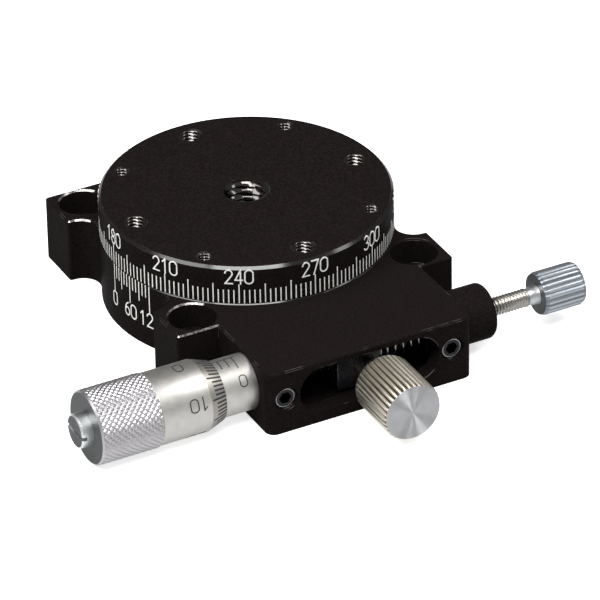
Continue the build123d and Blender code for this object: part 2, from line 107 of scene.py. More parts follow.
class Finish:
    """A principled material whose colour, roughness and surface vary by procedural noise."""

    def __init__(self, name, colour, metallic=0.0, roughness=0.4, specular=0.5):
        self.material = bpy.data.materials.new(name)
        self.material.use_nodes = True
        self.tree = self.material.node_tree
        self.shader = self.tree.nodes["Principled BSDF"]
        self.shader.inputs["Metallic"].default_value = metallic
        self.shader.inputs["Specular IOR Level"].default_value = specular
        self.colour = colour
        self.roughness = roughness
        self.tint = None
        self.normal = None
        self.place = self.node("ShaderNodeTexCoord").outputs["Object"]

    def feed(self, socket, value):
        """Links a socket to another one, or sets its value."""
        if isinstance(value, bpy.types.NodeSocket):
            self.tree.links.new(value, socket)
        else:
            socket.default_value = value

    def node(self, kind, **inputs):
        made = self.tree.nodes.new(kind)
        for key, value in inputs.items():
            self.feed(made.inputs[key], value)
        return made

    def vector_math(self, operation, first, second=None):
        made = self.tree.nodes.new("ShaderNodeVectorMath")
        made.operation = operation
        self.feed(made.inputs[0], first)
        if second is not None:
            self.feed(made.inputs[1], second)
        return made

    def scalar_math(self, operation, first, second, clamp=False):
        made = self.tree.nodes.new("ShaderNodeMath")
        made.operation = operation
        made.use_clamp = clamp
        self.feed(made.inputs[0], first)
        self.feed(made.inputs[1], second)
        return made.outputs["Value"]

    def spread(self, value, from_low, from_high, to_low=0.0, to_high=1.0):
        """Maps one range of values to another and holds it at the ends."""
        made = self.node("ShaderNodeMapRange", Value=value)
        made.inputs["From Min"].default_value = from_low
        made.inputs["From Max"].default_value = from_high
        made.inputs["To Min"].default_value = to_low
        made.inputs["To Max"].default_value = to_high
        return made.outputs["Result"]

    def mix(self, factor, first, second):
        """One colour where the factor is 0 and another where it is 1."""
        made = self.tree.nodes.new("ShaderNodeMix")
        made.data_type = "RGBA"
        self.feed(made.inputs["Factor"], factor)
        self.feed(made.inputs["A"], first)
        self.feed(made.inputs["B"], second)
        return made.outputs["Result"]

    def paint(self, tint):
        self.tint = tint
        self.feed(self.shader.inputs["Base Color"], tint)

    def noise(self, size, detail=3.0):
        """Noise in space, with features of about the given size."""
        made = self.node("ShaderNodeTexNoise", Vector=self.place, Scale=1 / size, Detail=detail)
        return made.outputs["Fac"]

    def noise_between(self, size, low, high):
        return self.spread(self.noise(size), *USUAL_NOISE, low, high)

    def about_line(self, axis, centre):
        """Distances along and away from a line that runs through a centre along an axis."""
        moved = self.vector_math("SUBTRACT", self.place, centre).outputs["Vector"]
        along = self.node("ShaderNodeSeparateXYZ", Vector=moved).outputs[axis]
        across = [float(name != axis) for name in "XYZ"]
        flat = self.vector_math("MULTIPLY", moved, across).outputs["Vector"]
        return along, self.vector_math("LENGTH", flat).outputs["Value"]

    def lathe_noise(self, axis, centre, size):
        """Noise that changes only along an axis and away from it, as tool marks do on a turned part."""
        along, away = self.about_line(axis, centre)
        made = self.tree.nodes.new("ShaderNodeTexNoise")
        made.noise_dimensions = "1D"
        self.feed(made.inputs["W"], self.scalar_math("ADD", along, away))
        made.inputs["Scale"].default_value = 1 / size
        made.inputs["Detail"].default_value = 4.0
        return made.outputs["Fac"]

    def mottle(self, size, amount):
        """Colour and roughness that drift a little from place to place."""
        low, high = 1 - amount, 1 + amount
        dark = (*[part * low for part in self.colour], 1)
        light = (*[min(1, part * high) for part in self.colour], 1)
        self.paint(self.mix(self.noise_between(size, 0, 1), dark, light))
        rough = self.noise_between(size / 2, self.roughness * low, self.roughness * high)
        self.feed(self.shader.inputs["Roughness"], rough)
        return self

    def ringed(self, axis, centre, start, end, inner):
        """Another colour nearer than start to a line, fading out by end."""
        away = self.about_line(axis, centre)[1]
        self.paint(self.mix(self.spread(away, start, end), (*inner, 1), self.tint))
        return self

    def rounded(self, radius):
        """Edges that catch the light as if they were slightly rounded."""
        made = self.node("ShaderNodeBevel", Radius=radius)
        made.samples = 6
        self.normal = made.outputs["Normal"]
        self.feed(self.shader.inputs["Normal"], self.normal)
        return self

    def worn_edges(self, radius, colour, reach):
        """Bare metal that shows along the edges, more in some places than in others."""
        wide = self.node("ShaderNodeBevel", Radius=radius)
        wide.samples = 8
        flat = self.node("ShaderNodeNewGeometry").outputs["Normal"]
        turn = self.vector_math("DOT_PRODUCT", wide.outputs["Normal"], flat).outputs["Value"]
        edge = self.spread(turn, *EDGE_TURN)
        patch = self.spread(self.noise(WEAR_PATCH), reach, reach + WEAR_FADE)
        worn = self.scalar_math("MULTIPLY", edge, patch, clamp=True)
        self.paint(self.mix(worn, self.tint, (*colour, 1)))
        self.feed(self.shader.inputs["Metallic"], worn)
        return self

    def bump(self, height, depth):
        made = self.node("ShaderNodeBump", Height=height, Distance=depth)
        if self.normal is not None:
            self.feed(made.inputs["Normal"], self.normal)
        self.normal = made.outputs["Normal"]
        self.feed(self.shader.inputs["Normal"], self.normal)
        return self

    def grained(self, size, depth):
        """A fine even grain."""
        return self.bump(self.noise(size, 2), depth)

    def glowing(self, surface, colour, strength):
        """A surface's shader with a glow added to it."""
        glow = self.node("ShaderNodeEmission", Color=colour, Strength=strength)
        made = self.node("ShaderNodeAddShader")
        self.feed(made.inputs[0], surface)
        self.feed(made.inputs[1], glow.outputs["Emission"])
        return made.outputs["Shader"]

    def brushed_round(self, axis, amount, turn):
        """Highlights drawn out round an axis of the piece, or across it when turned by a quarter."""
        tangent = self.tree.nodes.new("ShaderNodeTangent")
        tangent.direction_type = "RADIAL"
        tangent.axis = axis
        self.feed(self.shader.inputs["Tangent"], tangent.outputs["Tangent"])
        self.shader.inputs["Anisotropic"].default_value = amount
        self.shader.inputs["Anisotropic Rotation"].default_value = turn
        return self


def black_anodised():
    made = Finish("black_anodised", (0.0101, 0.0077, 0.0077), roughness=0.48, specular=0.006)
    made.mottle(size=0.25 * MM, amount=0.45).rounded(radius=0.07 * MM)
    made.worn_edges(radius=0.12 * MM, colour=(0.17, 0.16, 0.15), reach=0.54)
    return made.grained(size=0.11 * MM, depth=0.006 * MM).material


def bright_edge():
    """The turned chamfers of the table and of the base's rim, smoother than the faces beside them."""
    made = Finish("table_edge", (0.0062, 0.0048, 0.0046), roughness=0.13, specular=0.45)
    made.mottle(size=0.6 * MM, amount=0.2)
    return made.grained(size=0.10 * MM, depth=0.001 * MM).material


def worn_edge():
    """Lighter bare metal on the ears' edges that face the front lamp: partly wear, partly a painted
    highlight.
    """
    made = Finish("worn_edge", (0.20, 0.19, 0.185), metallic=0.85, roughness=0.25)
    made.mottle(size=0.5 * MM, amount=0.6)
    return made.grained(size=0.12 * MM, depth=0.008 * MM).material


def thread_metal():
    made = Finish("cut_thread", (0.075, 0.070, 0.067), metallic=0.95, roughness=0.07)
    made.mottle(size=0.3 * MM, amount=0.2)
    return made.grained(size=0.08 * MM, depth=0.003 * MM).material


def dark_lever():
    made = Finish("dark_lever", (0.010, 0.009, 0.011), roughness=0.30, specular=0.30)
    made.mottle(size=0.8 * MM, amount=0.2).rounded(radius=0.08 * MM)
    made.worn_edges(radius=0.15 * MM, colour=(0.20, 0.22, 0.26), reach=0.50)
    return made.grained(size=0.12 * MM, depth=0.004 * MM).material


def turned_metal(name, colour, roughness, axis, centre, marks=0.0016 * MM, brushing=0.35, turn=0.0):
    """A turned and plated metal with its tool marks round an axis."""
    made = Finish(name, colour, metallic=1.0, roughness=roughness)
    made.mottle(size=1.2 * MM, amount=0.06).rounded(radius=0.05 * MM)
    made.bump(made.lathe_noise(axis, centre, size=0.06 * MM), marks)
    return made.brushed_round(axis, brushing, turn).material


def fluted_metal(name, colour, roughness, axis, centre):
    """A knurled or fluted metal, whose pattern breaks up the tool marks."""
    return turned_metal(name, colour, roughness, axis, centre, marks=0.0008 * MM, brushing=0.0)


def plain_metal(name, colour, roughness):
    made = Finish(name, colour, metallic=1.0, roughness=roughness)
    made.mottle(size=0.8 * MM, amount=0.10).rounded(radius=0.05 * MM)
    return made.grained(size=0.07 * MM, depth=0.002 * MM).material


def set_screw_metal(node):
    """A socket screw's end: the bright metal, with painted shade darkening its face inside the rim."""
    made = Finish(f"{node}_end", (0.62, 0.62, 0.64), metallic=1.0, roughness=0.24)
    made.mottle(size=0.4 * MM, amount=0.25)
    # Painted shade: dark inside 1.18 mm, where the socket is.
    made.ringed("Y", middle(node), start=1.18 * MM, end=1.32 * MM, inner=(0.028, 0.028, 0.030))
    return made.grained(size=0.07 * MM, depth=0.004 * MM).material


def marking(name, colour):
    """Paint that fills an engraved line."""
    made = Finish(name, colour, roughness=0.5, specular=0.3)
    made.mottle(size=0.35 * MM, amount=0.10)
    return made.grained(size=0.08 * MM, depth=0.003 * MM).material


BLACK = black_anodised()
LEVER = dark_lever()
BRIGHT_EDGE = bright_edge()
WORN_EDGE_AND_HIGHLIGHT = worn_edge()
THREAD = thread_metal()
CHROME = turned_metal("satin_chrome", (0.62, 0.605, 0.575), 0.40, "X", DRIVE)
BEVEL_CHROME = turned_metal("bevel_chrome", (0.40, 0.375, 0.34), 0.42, "X", DRIVE)
# Brighter chrome for the thimble cap, and on the lock screw's collar a painted highlight.
CAP_CHROME_AND_COLLAR_HIGHLIGHT = turned_metal("cap_chrome_and_collar_highlight", (0.88, 0.90, 0.91), 0.34, "X", DRIVE)
# A dark copy of the chrome for end faces: painted shade.
SHADED_END_CHROME = turned_metal("thimble_end_painted_shade", (0.085, 0.09, 0.09), 0.40, "X", DRIVE)
KNURLED = fluted_metal("knurled_chrome", (0.56, 0.545, 0.56), 0.34, "X", DRIVE)
KNOB = fluted_metal("knob_flank", (0.84, 0.78, 0.665), 0.34, "Y", CLAMP)
# Dark copy of the knob metal for the grooves: painted shade.
KNOB_GROOVE_SHADE = fluted_metal("knob_groove_shade", (0.16, 0.14, 0.12), 0.34, "Y", CLAMP)
KNOB_FACE = turned_metal("knob_face", (0.60, 0.605, 0.61), 0.50, "Y", CLAMP,
                         marks=0.002 * MM, brushing=1.0, turn=0.25)
LOCK_KNOB = fluted_metal("lock_knob_metal", (0.46, 0.495, 0.525), 0.40, "X", DRIVE)
# Dark copy of the lock knob metal for its grooves: painted shade.
LOCK_GROOVE_SHADE = fluted_metal("lock_knob_groove_shade", (0.27, 0.30, 0.33), 0.40, "X", DRIVE)
STEEL = turned_metal("ground_steel", (0.60, 0.60, 0.61), 0.25, "Z", ORIGIN)
SCREW = plain_metal("plated_screw", (0.47, 0.455, 0.42), 0.28)
BLACK_SCREW = plain_metal("blackened_screw", (0.05, 0.05, 0.055), 0.38)
BRASS = plain_metal("turned_brass", (0.72, 0.53, 0.24), 0.30)
SPRING = plain_metal("spring_wire", (0.34, 0.34, 0.35), 0.24)
WHITE_MARK = marking("white_marking", (0.90, 0.90, 0.86))
DARK_MARK = marking("dark_marking", (0.035, 0.040, 0.045))

SLOT_MATERIAL = {
    "black_anodised": BLACK,
    "dark_lever": LEVER,
    "steel": STEEL,
    "blackened_screws": BLACK_SCREW,
    "plated_screws": SCREW,
    "brass": BRASS,
    "satin_chrome": CHROME,
    "spring_steel": SPRING,
    "knob_metal": KNOB,
}


SQUARE_ON = 0.9  # a face is square to an axis when its normal has more than this along it
UPRIGHT = 0.3  # a face is upright when its normal has less than this along Z
OUTER_BAND = 0.5 * MM  # width of the band at the table's edge that holds the chamfers
LEFT_EARS_X = -13 * MM
BLOCK_BACK_Y = -21 * MM
FRONT_LEAN, UPWARD_LEAN = -0.4, 0.5  # bounds on Y and Z in the normal of an ear's front edge


def dress_cad_nodes():
    """Gives every CAD node the material of its slot in the record, and some faces their own."""
    for part in frame["record"]["subparts"]:
        node = frame["nodes"][part["node"]]
        node.data.materials.clear()
        node.data.materials.append(SLOT_MATERIAL[part["material_slot"]])
    for name in ("micrometer_set_screw", "barrel_set_screw"):
        frame["nodes"][name].data.materials[0] = set_screw_metal(name)
    frame["nodes"]["thimble_cap"].data.materials[0] = CAP_CHROME_AND_COLLAR_HIGHLIGHT
    repaint("rotary_table", BRIGHT_EDGE, on_table_chamfer)
    # Painted highlight, with some wear: lighter metal on the left ears' edges that face the front lamp.
    repaint("base_body", WORN_EDGE_AND_HIGHLIGHT, on_ear_front_edge)
    repaint("base_body", BRIGHT_EDGE, on_rim_chamfer)
    # The cap's end face gets the painted shade copy of the chrome.
    repaint("thimble_cap", SHADED_END_CHROME, lambda face: face.normal.x < -SQUARE_ON)


def repaint(node, material, chosen):
    """Gives the chosen faces of a CAD node another material."""
    mesh = frame["nodes"][node].data
    mesh.materials.append(material)
    for face in mesh.polygons:
        if chosen(face):
            face.material_index = len(mesh.materials) - 1


def slopes(face):
    """True on a face that is neither upright nor level."""
    return UPRIGHT < abs(face.normal.z) < SQUARE_ON


def on_table_chamfer(face):
    """True on the sloping faces round the table's two outer edges."""
    away = hypot(face.center.x, face.center.y)
    return away > TABLE_RADIUS - OUTER_BAND and slopes(face)


def on_rim_chamfer(face):
    """True on the sloping face round the base's raised rim."""
    return face.center.z > RIM_TOP - RIM_CHAMFER and face.normal.z > 0 and slopes(face)


def on_ear_front_edge(face):
    """True on the broken upper edges of the left ears that look to the front, where they get a painted
    highlight.
    """
    on_ear = face.center.x < LEFT_EARS_X and face.center.y > BLOCK_BACK_Y
    return on_ear and face.normal.y < FRONT_LEAN and UPWARD_LEAN < face.normal.z < SQUARE_ON


# ---- pieces -------------------------------------------------------------------------------------


def add_piece(name, verts, faces, body, materials, smooth_angle=35):
    """A closed mesh that rides on a CAD body."""
    mesh = bpy.data.meshes.new(name)
    mesh.from_pydata([tuple(v) for v in verts], [], faces)
    solid = bmesh.new()
    solid.from_mesh(mesh)
    bmesh.ops.recalc_face_normals(solid, faces=solid.faces)
    solid.to_mesh(mesh)
    solid.free()
    for material in materials:
        mesh.materials.append(material)
    mesh.polygons.foreach_set("use_smooth", [True] * len(mesh.polygons))
    mesh.set_sharp_from_angle(angle=radians(smooth_angle))
    piece = bpy.data.objects.new(name, mesh)
    bpy.context.scene.collection.objects.link(piece)
    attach(piece, body)
    return piece


def about_drive(along, radius, angle):
    """A point round the micrometer's line: angle 0 is on top and grows towards the front."""
    return Vector((along, DRIVE.y - radius * sin(angle), DRIVE.z + radius * cos(angle)))


def about_clamp(along, radius, angle):
    """A point round the clamp knob's line."""
    return Vector((CLAMP.x + radius * sin(angle), along, CLAMP.z + radius * cos(angle)))


def about_hole(centre):
    """Points round an upright line through centre."""
    def place(along, radius, angle):
        return Vector((centre.x + radius * cos(angle), centre.y + radius * sin(angle), along))
    return place


def turned(rows, columns, place):
    """Vertices and faces of a ring-shaped solid: rows of (along, radius function) closed on each other."""
    verts = []
    for along, radius in rows:
        for column in range(columns):
            angle = tau * column / columns
            size = radius(angle) if callable(radius) else radius
            verts.append(place(along, size, angle))
    faces = []
    for row in range(len(rows)):
        after = (row + 1) % len(rows)
        for column in range(columns):
            beside = (column + 1) % columns
            faces.append((row * columns + column, row * columns + beside,
                          after * columns + beside, after * columns + column))
    return verts, faces


def steps(start, end, count):
    return [start + (end - start) * index / count for index in range(count + 1)]


# ---- engraved lines and numerals ----------------------------------------------------------------


def arc(cx, cy, rx, ry, start, end, count=14):
    """Points on part of an ellipse, angles in degrees."""
    return [(cx + rx * cos(radians(a)), cy + ry * sin(radians(a))) for a in steps(start, end, count)]


ADVANCE = 0.65  # from one digit to the next, over the height
DIGIT_WIDTH = 0.46
H = DIGIT_WIDTH / 2
W = 0.26  # half the width of a nought
NOUGHT = arc(H, 1 - W, W, W, 0, 180) + arc(H, W, W, W, 180, 360) + [(H + W, 1 - W)]
GLYPHS = {
    "0": [NOUGHT],
    "1": [[(0.08, 0.80), (0.27, 1.0)], [(0.27, 1.0), (0.27, 0.0)]],
    "2": [arc(H, 0.74, H, 0.26, 170, -35) + [(0.0, 0.0)], [(0.0, 0.0), (2 * H, 0.0)]],
    "3": [arc(H, 0.75, H * 0.9, 0.25, 155, -90), arc(H, 0.25, H, 0.25, 90, -155)],
    "4": [[(0.34, 0.0), (0.34, 1.0)], [(0.34, 1.0), (0.0, 0.27)], [(0.0, 0.27), (2 * H, 0.27)]],
    "5": [[(0.42, 1.0), (0.06, 1.0)], [(0.06, 1.0), (0.02, 0.56)],
          [(0.02, 0.56)] + arc(H, 0.31, H, 0.31, 120, -145)],
    "6": [arc(H, 0.29, H, 0.29, 0, 360, 24), arc(2.2 * H, 0.29, 2.2 * H, 0.71, 180, 108)],
    "7": [[(0.0, 1.0), (2 * H, 1.0)], [(2 * H, 1.0), (0.14, 0.0)]],
    "8": [arc(H, 0.76, H * 0.86, 0.24, 0, 360, 24), arc(H, 0.26, H, 0.26, 0, 360, 24)],
    "9": [arc(H, 0.71, H, 0.29, 0, 360, 24), arc(-0.2 * H, 0.71, 2.2 * H, 0.71, 0, -72)],
}
SINK = 0.05 * MM  # how deep a line's paint is set into the surface
PROUD = 0.012 * MM  # how far it stands out
LONGEST_FLAT = 0.2 * MM  # longest straight piece of a line on a curved surface


def text_width(text, height):
    return ((len(text) - 1) * ADVANCE + DIGIT_WIDTH) * height


def numeral_strokes(text, height, left, base, stretch=1.0):
    """The pen strokes of a number, with its lower left corner at (left, base)."""
    strokes = []
    for index, digit in enumerate(text):
        shift = left + index * ADVANCE * stretch * height
        for stroke in GLYPHS[digit]:
            strokes.append([(shift + x * stretch * height, base + y * height) for x, y in stroke])
    return strokes


def placed_number(value, height, left, base, place, stretch=1.0):
    """The strokes of a number, each with the surface that it is drawn on."""
    return [(stroke, place) for stroke in numeral_strokes(str(value), height, left, base, stretch)]


def subdivided(points, longest):
    """The same line with no piece longer than the given length, so that it can follow a curved surface."""
    fine = [points[0]]
    for start, end in zip(points, points[1:]):
        count = max(1, int(hypot(end[0] - start[0], end[1] - start[1]) / longest))
        for step in range(1, count + 1):
            share = step / count
            fine.append((start[0] + (end[0] - start[0]) * share, start[1] + (end[1] - start[1]) * share))
    return fine


def ribbon(points, width, place, verts, faces):
    """Adds one engraved line: a thin closed strip along the points, set into the surface."""
    flat = [Vector(p) for p in subdivided(points, LONGEST_FLAT)]
    lead = (flat[1] - flat[0]).normalized() * width / 2
    tail = (flat[-1] - flat[-2]).normalized() * width / 2
    flat[0] = flat[0] - lead
    flat[-1] = flat[-1] + tail
    first = len(verts)
    for index, point in enumerate(flat):
        before = flat[max(index - 1, 0)]
        after = flat[min(index + 1, len(flat) - 1)]
        along = (after - before).normalized()
        side = Vector((-along.y, along.x)) * width / 2
        for edge, height in ((side, PROUD), (-side, PROUD), (-side, -SINK), (side, -SINK)):
            spot = point + edge
            verts.append(place(spot.x, spot.y, height))
    for index in range(len(flat) - 1):
        near, far = first + 4 * index, first + 4 * index + 4
        for corner in range(4):
            beside = (corner + 1) % 4
            faces.append((near + corner, near + beside, far + beside, far + corner))
    last = first + 4 * (len(flat) - 1)
    faces.append((first + 3, first + 2, first + 1, first))
    faces.append((last, last + 1, last + 2, last + 3))


def engraving(name, strokes, width, body, material):
    """One piece made of (points, place) strokes."""
    verts, faces = [], []
    for points, place in strokes:
        ribbon(points, width, place, verts, faces)
    add_piece(name, verts, faces, body, [material])


def on_side(angle, level):
    """A flat drawing wrapped on the table's or the base's round side, its origin at an angle and a height."""
    def place(u, v, h):
        turn = angle + u / TABLE_RADIUS
        radius = TABLE_RADIUS + h
        return Vector((radius * cos(turn), radius * sin(turn), level + v))
    return place


TICK_WIDTH = 0.15 * MM
NUMERAL_WIDTH = 0.19 * MM
SCALE_NUMERAL = 2.0 * MM
SHORT_TICK = 1.9 * MM
LONG_TICK = 2.75 * MM
TICK_STEP, LONG_TICK_STEP, NUMBER_STEP = 2, 10, 30  # degrees


def table_scale():
    """Degree scale on the table's side: a line every 2 degrees, longer every 10, a number every 30."""
    level = TABLE_BOTTOM + EDGE
    ticks, numerals = [], []
    for angle in range(0, 360, TICK_STEP):
        length = SHORT_TICK if angle % LONG_TICK_STEP else LONG_TICK
        ticks.append(([(0, 0), (0, length - TICK_WIDTH / 2)], on_side(radians(angle), level)))
    for angle in range(0, 360, NUMBER_STEP):
        left = -text_width(str(angle), SCALE_NUMERAL) / 2
        base = LONG_TICK + NUMERAL_WIDTH / 2
        numerals += placed_number(angle, SCALE_NUMERAL, left, base, on_side(radians(angle), level))
    engraving("table_scale_lines", ticks, TICK_WIDTH, "table", WHITE_MARK)
    engraving("table_scale_numerals", numerals, NUMERAL_WIDTH, "table", WHITE_MARK)


VERNIER_START = 180.0
VERNIER_SPAN = 22.0
VERNIER_PARTS = 12
VERNIER_MINUTES = 10  # minutes to one part
VERNIER_SHORT = 1.7 * MM
VERNIER_MEDIUM = 2.7 * MM  # every third line
VERNIER_LONG = 3.85 * MM  # every sixth line, which has a number


def vernier_scale():
    """Vernier on the base: 12 parts over 11 table divisions, read in minutes."""
    level = RIM_TOP - RIM_CHAMFER
    ticks, numerals = [], []
    for index in range(VERNIER_PARTS + 1):
        place = on_side(radians(VERNIER_START + VERNIER_SPAN * index / VERNIER_PARTS), level)
        length = VERNIER_SHORT
        if index % 3 == 0:
            length = VERNIER_MEDIUM
        if index % 6 == 0:
            length = VERNIER_LONG
            minutes = VERNIER_MINUTES * index
            left = -text_width(str(minutes), SCALE_NUMERAL) / 2
            base = -length - SCALE_NUMERAL - NUMERAL_WIDTH
            numerals += placed_number(minutes, SCALE_NUMERAL, left, base, place)
        ticks.append(([(0, 0), (0, -length)], place))
    engraving("vernier_lines", ticks, TICK_WIDTH, "base", WHITE_MARK)
    engraving("vernier_numerals", numerals, NUMERAL_WIDTH, "base", WHITE_MARK)


def on_round(angle, along, radius):
    """A drawing round the micrometer's line; it reads towards -X and its tops are towards the front."""
    def place(u, v, h):
        return about_drive(along - u, radius + h, angle + v / radius)
    return place


WIDE = 1.22  # the micrometer's numerals are wider than the table's
SLEEVE_ZERO_X = THIMBLE_EDGE + 2.85 * MM
SLEEVE_INDEX = -10.0  # degrees from the top
SLEEVE_LINE = 0.15 * MM  # width of its lines
SLEEVE_STEP = 1.0 * MM
SLEEVE_PARTS = 13
SLEEVE_FIVE = 5  # parts from one number to the next
SLEEVE_INDEX_LEAD = 0.4 * MM  # how far the index line starts before the first tick
SLEEVE_TICK_START = 0.1 * MM
SLEEVE_SHORT, SLEEVE_LONG = 1.7 * MM, 2.2 * MM
SLEEVE_NUMERAL = 1.5 * MM
SLEEVE_NUMERAL_BASE = 3.3 * MM


def sleeve_scale():
    """Index line along the sleeve's top, a tick every millimetre and a number every five."""
    length = SLEEVE_PARTS * SLEEVE_STEP
    turn = radians(SLEEVE_INDEX)
    start = SLEEVE_ZERO_X + SLEEVE_INDEX_LEAD
    strokes = [([(0, 0), (length, 0)], on_round(turn, start, SLEEVE_RADIUS))]
    for index in range(SLEEVE_PARTS + 1):
        place = on_round(turn, SLEEVE_ZERO_X - index * SLEEVE_STEP, SLEEVE_RADIUS)
        reach = SLEEVE_SHORT if index % SLEEVE_FIVE else SLEEVE_LONG
        strokes.append(([(0, SLEEVE_TICK_START), (0, reach)], place))
        if index % SLEEVE_FIVE == 0:
            left = -text_width(str(index), SLEEVE_NUMERAL) * WIDE / 2
            strokes += placed_number(index, SLEEVE_NUMERAL, left, SLEEVE_NUMERAL_BASE, place, WIDE)
    engraving("sleeve_scale", strokes, SLEEVE_LINE, "base", DARK_MARK)


THIMBLE_PARTS = 50
THIMBLE_FIVE, THIMBLE_TEN = 5, 10  # parts from one long line, and from one number, to the next
THIMBLE_ZERO = -2.5  # degrees from the top
THIMBLE_LINE_START = 0.12 * MM
THIMBLE_SHORT, THIMBLE_LONG = 0.6, 0.85  # ends of the lines, over the bevel's length
THIMBLE_LINE_WIDTH = 0.24 * MM
THIMBLE_NUMERAL = 1.7 * MM
THIMBLE_NUMERAL_END = 2.85 * MM  # behind the bevel
THIMBLE_NUMERAL_WIDTH = 0.17 * MM


def on_bevel(angle):
    """A drawing on the thimble's bevel: u runs round it and v runs from its edge towards the barrel."""
    slope = atan2(BARREL_RADIUS - BEVEL_EDGE_RADIUS, THIMBLE_EDGE - BEVEL_X)

    def place(u, v, h):
        along = THIMBLE_EDGE - v * cos(slope) + h * sin(slope)
        radius = BEVEL_EDGE_RADIUS + v * sin(slope) + h * cos(slope)
        return about_drive(along, radius, angle + u / radius)
    return place


def thimble_scale():
    """Fifty lines on the bevel, and a number every ten on the barrel."""
    bevel = hypot(BARREL_RADIUS - BEVEL_EDGE_RADIUS, THIMBLE_EDGE - BEVEL_X)
    strokes, numerals = [], []
    for index in range(THIMBLE_PARTS):
        angle = radians(THIMBLE_ZERO + 360 / THIMBLE_PARTS * index)
        share = THIMBLE_SHORT if index % THIMBLE_FIVE else THIMBLE_LONG
        strokes.append(([(0, THIMBLE_LINE_START), (0, share * bevel)], on_bevel(angle)))
        if index % THIMBLE_TEN == 0:
            left = THIMBLE_NUMERAL_END - text_width(str(index), THIMBLE_NUMERAL) * WIDE
            place = on_round(angle, BEVEL_X, BARREL_RADIUS)
            numerals += placed_number(index, THIMBLE_NUMERAL, left, -THIMBLE_NUMERAL / 2, place, WIDE)
    engraving("thimble_scale_lines", strokes, THIMBLE_LINE_WIDTH, "spindle", DARK_MARK)
    engraving("thimble_scale_numerals", numerals, THIMBLE_NUMERAL_WIDTH, "spindle", DARK_MARK)


# ---- threads ------------------------------------------------------------------------------------
THREAD_SHARES = 6  # mesh steps to one pitch
THREAD_SMOOTH = 60  # degrees; sharper edges than this stay sharp
HOLE_THREAD_DEPTH = 0.5  # over the pitch
HOLE_COLUMNS, SCREW_COLUMNS = 48, 36  # mesh steps round a thread
CENTRE_DEPTH, HOLE_DEPTH = 4.4 * MM, 4.2 * MM
HOLE_CHAMFER = 0.1 * MM  # the threads start below it
LARGE_CIRCLE, SMALL_CIRCLE = 16 * MM, 17 * MM
M6 = {"radius": 3.0 * MM, "pitch": 1.0 * MM}
M3 = {"radius": 1.5 * MM, "pitch": 0.5 * MM}
M2 = {"radius": 1.0 * MM, "pitch": 0.4 * MM}


def wave(turns):
    """A triangle wave from 0 to 1 and back for each whole turn."""
    part = turns % 1.0
    return 1 - abs(2 * part - 1)


def thread_rows(start, end, radius, pitch, depth):
    """Rows of a thread that winds along from start to end, cut to its depth below the radius."""
    rows = []
    for along in steps(start, end, int(THREAD_SHARES * (end - start) / pitch)):
        def size(angle, along=along):
            return radius - depth * wave(along / pitch - angle / tau)
        rows.append((along, size))
    return rows


def hole_thread(name, centre, low, radius, pitch):
    """The thread of a tapped hole: a sleeve in its wall whose inside winds down."""
    high = TABLE_TOP - HOLE_CHAMFER
    wall = radius + SINK
    rows = [(low, wall)] + thread_rows(low, high, radius, pitch, HOLE_THREAD_DEPTH * pitch) + [(high, wall)]
    verts, faces = turned(rows, HOLE_COLUMNS, about_hole(centre))
    add_piece(name, verts, faces, "table", [THREAD], THREAD_SMOOTH)


def on_circle(radius, angle):
    turn = radians(angle)
    return Vector((radius * cos(turn), radius * sin(turn), 0))


def hole_threads():
    """M6 in the middle, four M3 on one circle and four M2 on another."""
    hole_thread("centre_thread", ORIGIN, TABLE_TOP - CENTRE_DEPTH, **M6)
    low = TABLE_TOP - HOLE_DEPTH
    for index in range(4):
        angle = 90 * index
        hole_thread(f"large_thread_{index + 1}", on_circle(LARGE_CIRCLE, angle), low, **M3)
        hole_thread(f"small_thread_{index + 1}", on_circle(SMALL_CIRCLE, angle + 45), low, **M2)


# ---- thimble ------------------------------------------------------------------------------------
KNURL_COUNT = 38  # diamonds round the thimble
KNURL_ROWS = 10  # diamonds along it
KNURL_DEPTH = 0.15 * MM
KNURL_SHARES = 4  # mesh steps to half a diamond
KNURL_RISE = 1.25  # above 1 it leaves small flats on the diamonds
BAND, BAND_DEPTH = 0.18 * MM, 0.1 * MM  # the groove between the barrel and the knurl
KNURL_END_DROP = 0.04 * MM  # from the knurl to the rim at the thimble's end
SLEEVE_CLEARANCE = 0.06 * MM
STUD_RADIUS, STUD_DEPTH = 1.0 * MM, 1.1 * MM  # the hole in the end wall, round the cap's stud
FACE_MARGIN = 0.05 * MM
THIMBLE_SMOOTH = 28  # degrees


def diamond(angle, share):
    """Height of the diamond knurl, 0 in the grooves and 1 on the flats."""
    left = wave(KNURL_COUNT * angle / tau + KNURL_ROWS * share)
    right = wave(KNURL_COUNT * angle / tau - KNURL_ROWS * share)
    return min(1.0, KNURL_RISE * min(left, right))


def knurl_rows(low, high):
    rows = []
    for along in steps(high, low, 2 * KNURL_ROWS * KNURL_SHARES):
        share = (along - low) / (high - low)

        def radius(angle, share=share):
            return KNURL_RADIUS - KNURL_DEPTH * (1 - diamond(angle, share))
        rows.append((along, radius))
    return rows


